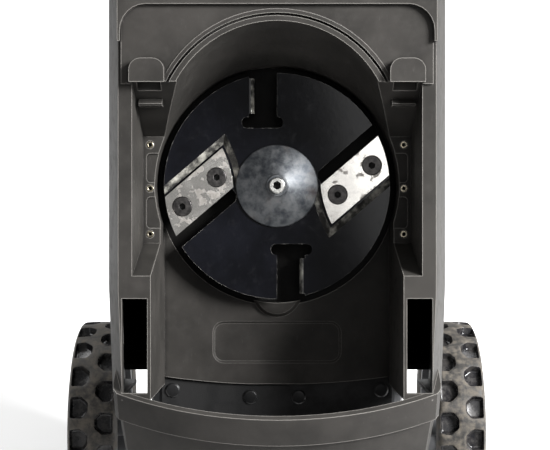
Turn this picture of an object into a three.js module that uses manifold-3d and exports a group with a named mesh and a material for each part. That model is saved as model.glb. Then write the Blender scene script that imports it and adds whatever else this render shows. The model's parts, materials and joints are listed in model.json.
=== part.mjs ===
// Electric wood chipper with its feed hopper lifted off: an inclined cutter disc in a moulded
// tub, a motor behind it, a tubular stand and two wheels. Millimetres, +Z up, front towards -Y.
//
// The tub and everything on the motor's axis are laid out in a working frame that lies in the
// face of the disc: u to the right, v up the slope and w out of the disc towards the operator.
// A group turned about X carries that frame; the stand and wheels are placed directly.

import * as THREE from 'three';
import { mergeVertices } from 'three/addons/utils/BufferGeometryUtils.js';
import Module from 'manifold-3d';

const wasm = await Module();
wasm.setup();

// ---------------------------------------------------------------- driving dimensions

const DISC_TILT = 30;            // degrees between the disc's axis and level ground
const DISC_HEIGHT = 511;         // centre of the disc's face above the ground
const GAP = 0.3;                 // clearance between pieces that touch
const SKIN = 4;                  // wall of the plastic mouldings

// Tub, in the u, v, w frame
const RAIL_W = 100;              // front face of the side rails
const RAIL_OUTER = 147;          // half width over the rails
const RAIL_INNER = 134;
const BODY_HALF = 163;           // half width of the body behind the rails
const BODY_FLARE_W = 40;         // depth at which the sides reach their full width
const BODY_BACK_W = -30;
const BODY_TOP = 240;
const BODY_BOTTOM = -200.5;
const PLATE_W = 103;             // front face of the plate above the mouth
const PLATE_LOW = 91;
const PLATE_HIGH = 164;
const PLATE_HALF = 144.5;
const PLATE_CORNER = 24;
const RIM_W = 108;               // raised rim above the plate
const ARCH_V = 42;
const ARCH_RADIUS = 106;
const BAY_TOP = 93;              // side bays left and right of the mouth
const BAY_LOW = -84;
const LEDGE_W = 20;              // screw plates at the bottom of the side bays
const LEDGE_TOP = 48;
const LEDGE_LOW = -57;
const LEDGE_HALF = 132;
const PIT_RADIUS = 120.5;        // round pit that the disc turns in
const PIT_W = -26;
const CHUTE_W = -20;
const CHUTE_HALF_FRONT = 117;
const CHUTE_HALF_BACK = 114;

// Cutter
const DISC_RADIUS = 113;
const DISC_THICK = 8;
const CONE_RADIUS = 41.4;
const CONE_HEIGHT = 14;
const BLADE_CENTRE = new THREE.Vector2(77.75, 6);
const BLADE_ANGLE = 40.5;
const BLADE_WIDTH = 37;
const BLADE_END_RADIUS = 112.5;
const BLADE_SCREW_PITCH = 22.5;  // each screw's distance from the middle of its blade
const BLADE_POCKET = 5;
const BLADE_THICK = 5.5;

// Wheels and stand, in the ground frame
const AXLE_Y = 121;
const WHEEL_RADIUS = 120;
const WHEEL_INNER = 184;         // distance of the tyre's inner side from the middle plane
const WHEEL_WIDTH = 56;
const AXLE_RADIUS = 6;
const LEG_X = 118;
const LEG_RADIUS = 12.5;
const FOOT_Y = -190;
const BAR_STEP = 24;             // spacing of the rings along a bent tube

const PLASTIC = new THREE.MeshStandardMaterial({ color: 0x2b2a29, roughness: 0.55 });
const DISC_PAINT = new THREE.MeshStandardMaterial({ color: 0x0c0d10, roughness: 0.3, metalness: 0.3 });
const GROUND_STEEL = new THREE.MeshStandardMaterial({ color: 0xcfccc6, roughness: 0.28, metalness: 1 });
const BLACK_OXIDE = new THREE.MeshStandardMaterial({ color: 0x3a3938, roughness: 0.45, metalness: 0.8 });
const ZINC = new THREE.MeshStandardMaterial({ color: 0x8d9193, roughness: 0.45, metalness: 0.9 });
const RUBBER = new THREE.MeshStandardMaterial({ color: 0x1b1b1c, roughness: 0.8 });
const BRASS = new THREE.MeshStandardMaterial({ color: 0xb08a3c, roughness: 0.4, metalness: 1 });
const COPPER = new THREE.MeshStandardMaterial({ color: 0x9a5a34, roughness: 0.45, metalness: 0.8 });
const FRAME_PAINT = new THREE.MeshStandardMaterial({ color: 0x202123, roughness: 0.5, metalness: 0.4 });
const GREEN_PLASTIC = new THREE.MeshStandardMaterial({ color: 0x2e7d3a, roughness: 0.4 });
const RED_PLASTIC = new THREE.MeshStandardMaterial({ color: 0xb3251f, roughness: 0.4 });
const GREY_PLASTIC = new THREE.MeshStandardMaterial({ color: 0x4c4d4f, roughness: 0.5 });

// ---------------------------------------------------------------- helpers

const chipper = new THREE.Group();
const machine = new THREE.Group();
const incline = new THREE.Group();
incline.rotation.x = THREE.MathUtils.degToRad(90 - DISC_TILT);
incline.position.z = DISC_HEIGHT;
chipper.add(machine);
machine.add(incline);

// A closed three.js geometry as a manifold-3d solid.
function toSolid(geometry) {
  const bare = geometry.index ? geometry.toNonIndexed() : geometry.clone();
  bare.deleteAttribute('normal');
  bare.deleteAttribute('uv');
  const merged = mergeVertices(bare, 1e-4);
  return new wasm.Manifold(new wasm.Mesh({
    numProp: 3,
    vertProperties: new Float32Array(merged.attributes.position.array),
    triVerts: new Uint32Array(merged.index.array),
  }));
}

function toGeometry(solid) {
  const mesh = solid.getMesh();
  const geometry = new THREE.BufferGeometry();
  geometry.setAttribute('position', new THREE.BufferAttribute(new Float32Array(mesh.vertProperties), 3));
  geometry.setIndex(new THREE.BufferAttribute(new Uint32Array(mesh.triVerts), 1));
  geometry.computeVertexNormals();
  return geometry;
}

const join = (...solids) => solids.reduce((whole, solid) => whole.add(solid));
const cut = (solid, ...tools) => tools.reduce((left, tool) => left.subtract(tool), solid);

// Names a piece, gives it its material and puts it in its frame.
function addPiece(frame, name, shape, material) {
  const mesh = new THREE.Mesh(shape.isBufferGeometry ? shape : toGeometry(shape), material);
  mesh.name = name;
  frame.add(mesh);
  return mesh;
}

function box(x0, x1, y0, y1, z0, z1) {
  const shape = new THREE.BoxGeometry(x1 - x0, y1 - y0, z1 - z0);
  return toSolid(shape.translate((x0 + x1) / 2, (y0 + y1) / 2, (z0 + z1) / 2));
}

// A block on one side, joined to its mirror image across the middle plane.
function boxPair(x0, x1, y0, y1, z0, z1) {
  return join(box(x0, x1, y0, y1, z0, z1), box(-x1, -x0, y0, y1, z0, z1));
}

// A closed solid between outlines of the same number of points, each at its own height.
function loft(...given) {
  const clockwise = THREE.ShapeUtils.isClockWise(given[0].outline);
  const sections = given.map(({ outline, w }) => ({
    outline: clockwise ? [...outline].reverse() : outline,
    w,
  }));
  const count = sections[0].outline.length;
  const positions = sections.flatMap(({ outline, w }) => outline.flatMap((p) => [p.x, p.y, w]));
  const index = [];
  for (let level = 0; level < sections.length - 1; level += 1) {
    for (let i = 0; i < count; i += 1) {
      const a = level * count + i;
      const b = level * count + ((i + 1) % count);
      index.push(a, b, b + count, a, b + count, a + count);
    }
  }
  const last = (sections.length - 1) * count;
  for (const [i, j, k] of THREE.ShapeUtils.triangulateShape(sections[0].outline, [])) {
    index.push(k, j, i);
  }
  for (const [i, j, k] of THREE.ShapeUtils.triangulateShape(sections.at(-1).outline, [])) {
    index.push(last + i, last + j, last + k);
  }
  const geometry = new THREE.BufferGeometry();
  geometry.setAttribute('position', new THREE.Float32BufferAttribute(positions, 3));
  geometry.setIndex(index);
  return toSolid(geometry);
}

const prism = (outline, w0, w1) => loft({ outline, w: w0 }, { outline, w: w1 });
const points = (...pairs) => pairs.map(([x, y]) => new THREE.Vector2(x, y));
const rectangle = (x0, x1, y0, y1) => points([x0, y0], [x1, y0], [x1, y1], [x0, y1]);

function circle(radius, x = 0, y = 0, segments = 64) {
  return Array.from({ length: segments }, (_, i) => {
    const angle = (2 * Math.PI * i) / segments;
    return new THREE.Vector2(x + radius * Math.cos(angle), y + radius * Math.sin(angle));
  });
}

// A rectangle whose corners are arcs; the radii are for its lower and its upper corners.
function roundRectangle(x0, x1, y0, y1, lowRadius, highRadius = lowRadius, steps = 6) {
  const corners = [
    [x0 + lowRadius, y0 + lowRadius, lowRadius, Math.PI],
    [x1 - lowRadius, y0 + lowRadius, lowRadius, 1.5 * Math.PI],
    [x1 - highRadius, y1 - highRadius, highRadius, 0],
    [x0 + highRadius, y1 - highRadius, highRadius, 0.5 * Math.PI],
  ];
  return corners.flatMap(([x, y, radius, start]) => Array.from({ length: steps + 1 }, (_, i) => {
    const angle = start + (Math.PI / 2) * (i / steps);
    return new THREE.Vector2(x + radius * Math.cos(angle), y + radius * Math.sin(angle));
  }));
}

// A (y, z) profile pushed along X.
function profileX(profile, x0, x1) {
  const shape = new THREE.ExtrudeGeometry(new THREE.Shape(profile), { depth: x1 - x0, bevelEnabled: false });
  const turn = new THREE.Matrix4().makeBasis(
    new THREE.Vector3(0, 1, 0), new THREE.Vector3(0, 0, 1), new THREE.Vector3(1, 0, 0));
  return toSolid(shape.applyMatrix4(turn).translate(x0, 0, 0));
}

// A turned piece: the profile holds radius and height pairs and starts and ends on the axis,
// or closes on itself. Its axis is w.
function turned(profile, segments = 48) {
  const shape = new THREE.LatheGeometry(points(...profile), segments);
  return toSolid(shape.rotateX(Math.PI / 2));
}

const disc = (radius, w0, w1, segments) => turned([[0, w0], [radius, w0], [radius, w1], [0, w1]], segments);

function ring(inner, outer, w0, w1, segments) {
  return turned([[inner, w0], [outer, w0], [outer, w1], [inner, w1], [inner, w0]], segments);
}

// A round bar along X between two places.
function barX(radius, x0, x1, y, z, segments = 24) {
  const shape = new THREE.CylinderGeometry(radius, radius, x1 - x0, segments);
  return toSolid(shape.rotateZ(Math.PI / 2).translate((x0 + x1) / 2, y, z));
}

// A bent round tube through a list of corners, each corner rounded by the bend radius.
function bentBar(corners, radius, bend, sides = 10, stepsPerBend = 5) {
  const route = [corners[0]];
  for (let i = 1; i < corners.length - 1; i += 1) {
    const back = corners[i - 1].clone().sub(corners[i]).setLength(bend).add(corners[i]);
    const ahead = corners[i + 1].clone().sub(corners[i]).setLength(bend).add(corners[i]);
    const curve = new THREE.QuadraticBezierCurve3(back, corners[i], ahead);
    route.push(...curve.getPoints(stepsPerBend));
  }
  route.push(corners.at(-1));
  const path = new THREE.CurvePath();
  for (let i = 0; i < route.length - 1; i += 1) {
    path.add(new THREE.LineCurve3(route[i], route[i + 1]));
  }
  const section = new THREE.Shape(circle(radius, 0, 0, sides));
  const steps = Math.round(path.getLength() / BAR_STEP);
  return toSolid(new THREE.ExtrudeGeometry(section, { extrudePath: path, steps, bevelEnabled: false }));
}

// ---------------------------------------------------------------- tub

// The body's outline seen along w, at one half width, moved inwards by the inset.
function bodyOutline(half, top, inset) {
  const lowHalf = half - 4 - inset;
  const highHalf = half - inset;
  const corner = 30 - inset;
  const outline = points([-lowHalf, BODY_BOTTOM + inset], [lowHalf, BODY_BOTTOM + inset]);
  const upper = roundRectangle(-highHalf, highHalf, 0, top - inset, 0, corner, 6).slice(14);
  return [...outline, ...points([highHalf, -100]), ...upper, ...points([-highHalf, -100])];
}

function bodyBlock(inset) {
  return loft(
    { outline: bodyOutline(BODY_HALF, BODY_TOP, inset), w: BODY_BACK_W - (inset ? 1 : 0) },
    { outline: bodyOutline(BODY_HALF, BODY_TOP, inset), w: BODY_FLARE_W },
    { outline: bodyOutline(RAIL_OUTER, BODY_TOP - 10, inset), w: RAIL_W - inset },
  );
}

// Everything the front of the tub is open to, each wall moved outwards by grow.
function frontOpenings(grow) {
  const front = RAIL_W + 10;
  const mouth = loft(
    { outline: circle(PIT_RADIUS + grow, 0, 0, 72), w: 5 - grow },
    { outline: circle(ARCH_RADIUS + grow, 0, ARCH_V, 72), w: RAIL_W },
    { outline: circle(ARCH_RADIUS + grow, 0, ARCH_V + 2, 72), w: front },
  );
  const ledge = rectangle(-LEDGE_HALF - grow, LEDGE_HALF + grow, LEDGE_LOW - grow, LEDGE_TOP + grow);
  const bayLow = BAY_LOW - 2;
  const bay = rectangle(-RAIL_INNER - grow, RAIL_INNER + grow, bayLow - grow, BAY_TOP + grow);
  const bays = loft(
    { outline: ledge, w: LEDGE_W - grow },
    { outline: bay, w: RAIL_W },
    { outline: bay, w: front },
  );
  const pit = prism(circle(PIT_RADIUS + grow, 0, 0, 72), PIT_W - grow, LEDGE_W + 1);
  const chuteOutline = (half) => rectangle(-half, half, BODY_BOTTOM - 20, -20);
  const chute = loft(
    { outline: chuteOutline(CHUTE_HALF_BACK + grow), w: CHUTE_W - grow },
    { outline: chuteOutline(CHUTE_HALF_FRONT + grow), w: front },
  );
  return join(mouth, bays, pit, chute);
}

const SLOT_INNER = 120;          // slots in the pillars that the hopper's hooks pass through
const SLOT_OUTER = 143.5;
const SLOT_HIGH = -107;
const SLOT_LOW = -194.5;
const HOOD_INNER = 103.5;
const HOOD_OUTER = 136;
const HOOD_TOP = 114;
const HOOD_W = 112;
const SOCKET_INNER = 108;
const SOCKET_OUTER = 130;
const SOCKET_LOW = 80;
const SOCKET_TOP = 110;
const SOCKET_BACK_W = 88;
const SOCKET_FRONT_W = 107;
const SCREW_X = 125;
const SCREW_V = [40, -3, -48];
const INSERT_RADIUS = 3.6;
const SEAL_RADIUS = 22;
const CHUTE_EDGE_MIDDLE = -201;
const CHUTE_EDGE_RISE = 8;
const FLAP_TOP = -189;
const PLUNGER = { u0: 115, u1: 123, v0: 101, v1: 126, w0: 90, w1: 95 };
const LEDGE_POCKETS = [[3, 31.5], [-42, -11.5]];
const INNER_BEAD = 112;          // the arch's inner bead ends here and its groove begins
const OUTER_BEAD_START = 114.5;
const OUTER_BEAD_END = 118.5;

const mirrorX = (outline) => outline.map((p) => new THREE.Vector2(-p.x, p.y)).reverse();
const bothSides = (outline, w0, w1) => join(prism(outline, w0, w1), prism(mirrorX(outline), w0, w1));

function chamberHousing() {
  const openings = frontOpenings(0);
  const hollow = cut(bodyBlock(SKIN), frontOpenings(SKIN));
  const rimOutline = roundRectangle(-RAIL_OUTER, RAIL_OUTER, 130, BODY_TOP - 10, 0.5, 28);
  const panelOutline = roundRectangle(-PLATE_HALF, PLATE_HALF, 60, PLATE_HIGH, 1, PLATE_CORNER);
  const rim = cut(prism(rimOutline, RAIL_W - 1, RIM_W), prism(panelOutline, 0, RIM_W + 1));
  const plateHalf = PLATE_HALF - 0.5;
  const plateOutline = roundRectangle(-plateHalf, plateHalf, PLATE_LOW, PLATE_HIGH + 4, 0.5, 20);
  const plate = prism(plateOutline, RAIL_W - SKIN, PLATE_W);
  const aboveBays = box(-SOCKET_OUTER, SOCKET_OUTER, PLATE_LOW, PLATE_HIGH, RAIL_W - 1, HOOD_W);
  const beadDisc = (radius, w) => prism(circle(radius, 0, ARCH_V, 72), RAIL_W - 1, w);
  const outerBead = cut(beadDisc(OUTER_BEAD_END, PLATE_W + 1), beadDisc(OUTER_BEAD_START, HOOD_W));
  const bothBeads = join(beadDisc(INNER_BEAD, PLATE_W + 2), outerBead);
  const beads = cut(bothBeads, beadDisc(ARCH_RADIUS - 1, HOOD_W)).intersect(aboveBays);
  const groove = cut(beadDisc(OUTER_BEAD_START, HOOD_W), beadDisc(INNER_BEAD, HOOD_W + 1)).intersect(
    box(-SOCKET_OUTER, SOCKET_OUTER, PLATE_LOW, PLATE_HIGH, RAIL_W, HOOD_W));
  const hoodOutline = roundRectangle(HOOD_INNER, HOOD_OUTER, PLATE_LOW + 1, HOOD_TOP, 0.5, 11);
  const hoods = bothSides(hoodOutline, RAIL_W - 1, HOOD_W);
  const hoodCores = boxPair(SOCKET_INNER - SKIN, SOCKET_OUTER + SKIN, SOCKET_LOW - SKIN, SOCKET_TOP + SKIN,
    SOCKET_BACK_W - SKIN, RAIL_W);
  const sockets = boxPair(SOCKET_INNER, SOCKET_OUTER, SOCKET_LOW, SOCKET_TOP, SOCKET_BACK_W, SOCKET_FRONT_W);
  const shell = cut(bodyBlock(0), hollow);
  let tub = join(shell, rim, plate);
  tub = cut(tub, groove);
  tub = join(tub, beads, hoods, hoodCores.intersect(bodyBlock(1)));
  tub = cut(tub, openings, sockets);
  // Slots right through each pillar and out of its lower end.
  tub = cut(tub,
    boxPair(SLOT_INNER, SLOT_OUTER, SLOT_LOW, SLOT_HIGH, RAIL_W - 10, RAIL_W + 1),
    boxPair(SLOT_INNER, SLOT_OUTER, BODY_BOTTOM - 1, -150, BODY_BACK_W - 1, RAIL_W - SKIN));
  // Recesses between the screws on each ledge, open to the pit.
  for (const [low, high] of LEDGE_POCKETS) {
    tub = cut(tub, bothSides(roundRectangle(104, 128.5, low, high, 4), LEDGE_W - 2, LEDGE_W + 2));
  }
  for (const v of SCREW_V) {
    tub = cut(tub, bothSides(circle(INSERT_RADIUS + GAP, SCREW_X, v, 16), LEDGE_W - SKIN - 1, LEDGE_W + 1));
  }
  // A small ramp under each latch socket leads the tongue in.
  const ramp = points(
    [SOCKET_LOW - 7, 58], [SOCKET_LOW - 7, 78], [SOCKET_LOW - 5, 80], [SOCKET_LOW, 76], [SOCKET_LOW, 70],
  );
  tub = join(tub, profileX(ramp, SOCKET_INNER, SOCKET_OUTER), profileX(ramp, -SOCKET_OUTER, -SOCKET_INNER));
  // The chute's back wall: a shallow panel, and a rounded boss just below the disc.
  const panel = loft(
    { outline: roundRectangle(-63, 63, -177, -139, 9), w: CHUTE_W - 1.5 },
    { outline: roundRectangle(-66, 66, -180, -136, 12), w: CHUTE_W + 0.5 },
  );
  const boss = loft(
    { outline: circle(25, 0, -108, 32), w: CHUTE_W - 1 },
    { outline: circle(21, 0, -108, 32), w: CHUTE_W + 6 },
    { outline: circle(14, 0, -108, 32), w: CHUTE_W + 9 },
  );
  const sweep = prism(circle(PIT_RADIUS - 3, 0, 0, 72), PIT_W, 0);
  tub = join(cut(tub, panel), cut(boss, sweep));
  const shaftHole = disc(SEAL_RADIUS + GAP, PIT_W - SKIN - 1, PIT_W + 1, 48);
  // The back wall ends in a slight curve, with room behind it for the rubber flap.
  const edge = Array.from({ length: 13 }, (_, i) => {
    const u = -CHUTE_HALF_BACK + (2 * CHUTE_HALF_BACK * i) / 12;
    return new THREE.Vector2(u, CHUTE_EDGE_MIDDLE + CHUTE_EDGE_RISE * (u / CHUTE_HALF_BACK) ** 2);
  });
  const belowEdge = [...points([CHUTE_HALF_BACK, -230], [-CHUTE_HALF_BACK, -230]), ...edge];
  const plungerHole = box(PLUNGER.u0 - GAP, PLUNGER.u1 + GAP, SOCKET_TOP - 1, SOCKET_TOP + SKIN + 1,
    PLUNGER.w0 - GAP, PLUNGER.w1 + GAP);
  return cut(tub, shaftHole, plungerHole, prism(belowEdge, BODY_BACK_W - 1, CHUTE_W + 1),
    box(-SLOT_INNER, SLOT_INNER, BODY_BOTTOM - 1, FLAP_TOP - 2, BODY_BACK_W - 1, CHUTE_W - SKIN));
}

addPiece(incline, 'chamber_housing', chamberHousing(), PLASTIC);
for (const [row, v] of SCREW_V.entries()) {
  for (const [side, u] of [['left', -SCREW_X], ['right', SCREW_X]]) {
    const insert = ring(1.8, INSERT_RADIUS, LEDGE_W - SKIN, LEDGE_W + 0.4, 12);
    addPiece(incline, `${side}_insert_${row + 1}`, toGeometry(insert).translate(u, v, 0), BRASS);
  }
}

// ---------------------------------------------------------------- cutter, turning about w

const cutter = new THREE.Group();
incline.add(cutter);

const HUB_HOLE = 10;
const TAB_HALF_LENGTH = 17.5;    // a fan paddle folded back from the disc beside each T-slot
const TAB_MIDDLE = 90;
const TAB_DEPTH = -18;
const TAB_OUTER_X = -22;
const TAB_BEND = 6;
const TAB_THICK = 5;
const T_SLOT_RIGHT = 0;
const T_HEAD = { left: -35, right: 6, low: 58, high: 69 };
const CHIP_SLOT = 12;
const POCKET_GAP = 2.5;          // flat clearance round a blade, and the sloped wall outside it
const POCKET_SLOPE = 6.5;
const CARRIER_RADIUS = 38;
const SHAFT_RADIUS = 9;

// Half a turn about the disc's axis.
const halfTurn = (outline) => outline.map((p) => new THREE.Vector2(-p.x, -p.y));
const twice = (outline, w0, w1) => join(prism(outline, w0, w1), prism(halfTurn(outline), w0, w1));

// From the blade's own frame (s along its edge, t across towards the chip slot) to the disc.
const bladeTurn = THREE.MathUtils.degToRad(BLADE_ANGLE);
const onDisc = (s, t) => new THREE.Vector2(s, t)
  .rotateAround(new THREE.Vector2(), bladeTurn)
  .add(BLADE_CENTRE);
const axisInBlade = BLADE_CENTRE.clone().negate().rotateAround(new THREE.Vector2(), -bladeTurn);

// The blade's outline: two straight edges and two arcs that follow the disc's rim, grown all
// round; it looks the same after half a turn about its own middle.
function bladeOutline(grow, steps = 6) {
  const halfWidth = BLADE_WIDTH / 2 + grow;
  const radius = BLADE_END_RADIUS + grow;
  const end = Array.from({ length: steps + 1 }, (_, i) => {
    const t = -halfWidth + (2 * halfWidth * i) / steps;
    const s = axisInBlade.x + Math.sqrt(radius ** 2 - (t - axisInBlade.y) ** 2);
    return [s, t];
  });
  const farEnd = end.map(([s, t]) => [-s, -t]);
  return [...end, ...farEnd].map(([s, t]) => onDisc(s, t));
}

function cutterDisc() {
  let plate = ring(HUB_HOLE, DISC_RADIUS, -DISC_THICK, 0, 96);
  const neck = rectangle(TAB_OUTER_X - TAB_BEND, T_SLOT_RIGHT, T_HEAD.low + 2, DISC_RADIUS + 5);
  const head = roundRectangle(T_HEAD.left, T_HEAD.right, T_HEAD.low, T_HEAD.high, 5);
  plate = cut(plate, twice(neck, -DISC_THICK - 1, 1), twice(head, -DISC_THICK - 1, 1));
  // Chip slot along each blade's leading edge, open to the rim.
  const leadingEdge = BLADE_WIDTH / 2;
  const slot = [
    onDisc(-27, leadingEdge - 4), onDisc(70, leadingEdge - 4), onDisc(70, leadingEdge + CHIP_SLOT),
    onDisc(-22, leadingEdge + CHIP_SLOT), onDisc(-27, leadingEdge + CHIP_SLOT - 5),
  ];
  const pocket = loft(
    { outline: bladeOutline(POCKET_GAP), w: -BLADE_POCKET },
    { outline: bladeOutline(POCKET_GAP + POCKET_SLOPE), w: 0.05 },
    { outline: bladeOutline(POCKET_GAP + POCKET_SLOPE + 0.5), w: 1 },
  );
  const pocketSide = prism([
    onDisc(-60, -60), onDisc(80, -60), onDisc(80, leadingEdge), onDisc(-34, leadingEdge), onDisc(-60, 10),
  ], -DISC_THICK, 2);
  const pocketHere = pocket.intersect(pocketSide);
  const screwHoles = [-1, 1].map((side) => onDisc(side * BLADE_SCREW_PITCH, 0));
  plate = cut(plate, twice(slot, -DISC_THICK - 1, 1), pocketHere, halfTurnSolid(pocketHere));
  for (const hole of screwHoles) {
    plate = cut(plate, twice(circle(SCREW_SHANK + GAP, hole.x, hole.y, 16), -DISC_THICK - 1, 1));
  }
  // The tab runs on from the plate round a bend and stands square behind it.
  const bend = Array.from({ length: 7 }, (_, i) => {
    const angle = (Math.PI / 2) * (1 - i / 6);
    const x = TAB_OUTER_X - TAB_BEND + TAB_BEND * Math.cos(angle);
    return new THREE.Vector2(x, -TAB_BEND + TAB_BEND * Math.sin(angle));
  });
  const section = [
    ...points([TAB_OUTER_X - TAB_BEND - 4, -DISC_THICK + 1], [TAB_OUTER_X - TAB_BEND - 4, 0]),
    ...bend,
    ...points([TAB_OUTER_X, TAB_DEPTH], [TAB_OUTER_X - TAB_THICK, TAB_DEPTH],
      [TAB_OUTER_X - TAB_THICK, -DISC_THICK + 1]),
  ].reverse();
  const tabShape = new THREE.ExtrudeGeometry(new THREE.Shape(section), {
    depth: 2 * TAB_HALF_LENGTH, bevelEnabled: false,
  });
  tabShape.rotateX(Math.PI / 2).translate(0, TAB_MIDDLE + TAB_HALF_LENGTH, 0);
  const tab = toSolid(tabShape);
  return join(plate, tab, halfTurnSolid(tab));
}

function halfTurnSolid(solid) {
  return toSolid(toGeometry(solid).rotateZ(Math.PI));
}

const SCREW_SHANK = 5;
const SCREW_HEAD = 9.9;
const SCREW_SUNK = 0.4;          // the head sits this far under the blade's face
const HEAD_DEPTH = 4.7;
const HEAD_RIM = 0.8;
const SCREW_END = -16;
const SOCKET_RADIUS = 3.4;

// Hardened blade, bevelled underneath along both edges so that it can be turned round.
function blade() {
  const low = -BLADE_POCKET + GAP;
  const top = low + BLADE_THICK;
  const narrow = 3;
  const body = loft(
    { outline: bladeOutline(0), w: low },
    { outline: bladeOutline(0), w: top },
  );
  const bevel = (side) => {
    const edge = side * (BLADE_WIDTH / 2);
    const section = new THREE.Shape(points(
      [edge + side, low - 1], [edge + side, top - 1.5], [edge, top - 1.5],
      [edge - side * narrow, low], [edge - side * narrow, low - 1],
    ));
    const shape = new THREE.ExtrudeGeometry(section, { depth: 200, bevelEnabled: false });
    const lay = new THREE.Matrix4().makeBasis(
      new THREE.Vector3(0, 1, 0), new THREE.Vector3(0, 0, 1), new THREE.Vector3(1, 0, 0));
    shape.applyMatrix4(lay).translate(-100, 0, 0).rotateZ(bladeTurn);
    return toSolid(shape.translate(BLADE_CENTRE.x, BLADE_CENTRE.y, 0));
  };
  let shape = cut(body, bevel(1), bevel(-1));
  for (const side of [-1, 1]) {
    const at = onDisc(side * BLADE_SCREW_PITCH, 0);
    const headTop = top - SCREW_SUNK;
    const shank = SCREW_SHANK + GAP;
    const head = SCREW_HEAD + GAP;
    const sink = turned([[0, low - 1], [shank, low - 1], [shank, headTop - HEAD_DEPTH],
      [head, headTop - HEAD_RIM], [head, top + 1], [0, top + 1]], 24);
    shape = cut(shape, toSolid(toGeometry(sink).translate(at.x, at.y, 0)));
  }
  return shape;
}

// Countersunk hex-socket screw, its head just under the blade's face.
function bladeScrew() {
  const top = -BLADE_POCKET + GAP + BLADE_THICK - SCREW_SUNK;
  const body = turned([[0, SCREW_END], [SCREW_SHANK, SCREW_END], [SCREW_SHANK, top - HEAD_DEPTH],
    [SCREW_HEAD, top - HEAD_RIM], [SCREW_HEAD - 0.5, top], [0, top]], 24);
  return cut(body, disc(SOCKET_RADIUS, top - 4, top + 1, 6));
}

addPiece(cutter, 'cutter_disc', cutterDisc(), DISC_PAINT);
const bladeShape = toGeometry(blade());
addPiece(cutter, 'blade_1', bladeShape, GROUND_STEEL);
addPiece(cutter, 'blade_2', bladeShape.clone().rotateZ(Math.PI), GROUND_STEEL);
const screwShape = toGeometry(bladeScrew());
for (const [index, turn] of [0, 0, Math.PI, Math.PI].entries()) {
  const side = index % 2 ? 1 : -1;
  const at = onDisc(side * BLADE_SCREW_PITCH, 0).rotateAround(new THREE.Vector2(), turn);
  addPiece(cutter, `blade_screw_${index + 1}`, screwShape.clone().translate(at.x, at.y, 0), BLACK_OXIDE);
}

const cone = turned([[5.8, GAP], [CONE_RADIUS - 1, GAP], [CONE_RADIUS, 1.2], [CONE_RADIUS - 0.8, 2.4],
  [12, CONE_HEIGHT - 1.4], [10.5, CONE_HEIGHT], [5.8, CONE_HEIGHT], [5.8, GAP]], 48);
addPiece(cutter, 'hub_cone', cone, ZINC);
const boltTop = CONE_HEIGHT + 7;
const bolt = cut(
  turned([[0, -34], [5, -34], [5, CONE_HEIGHT + GAP], [8, CONE_HEIGHT + GAP],
    [8, boltTop - 1], [7, boltTop], [0, boltTop]], 32),
  disc(4.2, boltTop - 5, boltTop + 1, 6),
);
addPiece(cutter, 'hub_bolt', bolt, BLACK_OXIDE);

const carrier = turned([[SHAFT_RADIUS + GAP, -25], [16, -25], [20, -15], [CARRIER_RADIUS, -13],
  [CARRIER_RADIUS, -DISC_THICK - GAP], [SHAFT_RADIUS + GAP, -DISC_THICK - GAP], [SHAFT_RADIUS + GAP, -25]], 24);
addPiece(cutter, 'disc_carrier', carrier, BLACK_OXIDE);
const SHAFT_END = -218;
const shaft = cut(disc(SHAFT_RADIUS, SHAFT_END, -GAP, 24), disc(5.3, -34.5, 1, 16));
addPiece(cutter, 'drive_shaft', shaft, GROUND_STEEL);

// ---------------------------------------------------------------- motor

const PLATE_BACK = -36;
const MOTOR_RADIUS = 68;
const MOTOR_END = -196;
const STATOR = { inner: 37.5, front: -70, back: -150 };
const FAN = { radius: 56, front: -166, back: -186, blades: 9 };
const SHAFT_BORE = SHAFT_RADIUS + GAP;

addPiece(incline, 'shaft_seal', ring(SHAFT_BORE + 0.2, SEAL_RADIUS, PIT_W - SKIN, PIT_W, 24), RUBBER);
const seat = 18.3;
addPiece(incline, 'motor_plate', turned([[seat, -50], [26, -50], [26, PLATE_BACK], [84, PLATE_BACK],
  [84, PIT_W - SKIN - GAP], [seat, PIT_W - SKIN - GAP], [seat, -50]], 32), ZINC);
addPiece(incline, 'front_bearing', ring(SHAFT_BORE, seat - GAP, -50, PLATE_BACK, 24), GROUND_STEEL);
const SLEEVE_INNER = MOTOR_RADIUS - 3;
const sleeve = ring(SLEEVE_INNER, MOTOR_RADIUS, MOTOR_END, PLATE_BACK - GAP, 32);
addPiece(incline, 'motor_sleeve', sleeve, ZINC);
const stator = ring(STATOR.inner, SLEEVE_INNER - GAP, STATOR.back, STATOR.front, 32);
addPiece(incline, 'stator', stator, COPPER);
const rotor = ring(SHAFT_BORE, STATOR.inner - 1, STATOR.back - 4, STATOR.front + 4, 24);
addPiece(cutter, 'rotor', rotor, BLACK_OXIDE);

function coolingFan() {
  let fan = join(ring(SHAFT_BORE, 17, FAN.back, FAN.front, 20), ring(16, FAN.radius, FAN.front - 2.5, FAN.front, 32));
  for (let i = 0; i < FAN.blades; i += 1) {
    const vane = toGeometry(box(15, FAN.radius - 1, -1.2, 1.2, FAN.back + 1, FAN.front - 1));
    fan = join(fan, toSolid(vane.rotateZ((2 * Math.PI * i) / FAN.blades)));
  }
  return fan;
}
addPiece(cutter, 'cooling_fan', coolingFan(), GREY_PLASTIC);

const BELL_FRONT = MOTOR_END - GAP;
const BELL_BACK = BELL_FRONT - 12;
let bell = ring(seat, MOTOR_RADIUS, BELL_BACK, BELL_FRONT, 32);
for (let i = 0; i < 6; i += 1) {
  const port = prism(circle(11, 44, 0, 12), BELL_BACK - 1, BELL_FRONT + 1);
  bell = cut(bell, toSolid(toGeometry(port).rotateZ((Math.PI * i) / 3)));
}
addPiece(incline, 'motor_end_bell', bell, ZINC);
addPiece(incline, 'rear_bearing', ring(SHAFT_BORE, seat - GAP, BELL_BACK, BELL_FRONT, 24), GROUND_STEEL);

// ---------------------------------------------------------------- rear cover and what it carries

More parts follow.
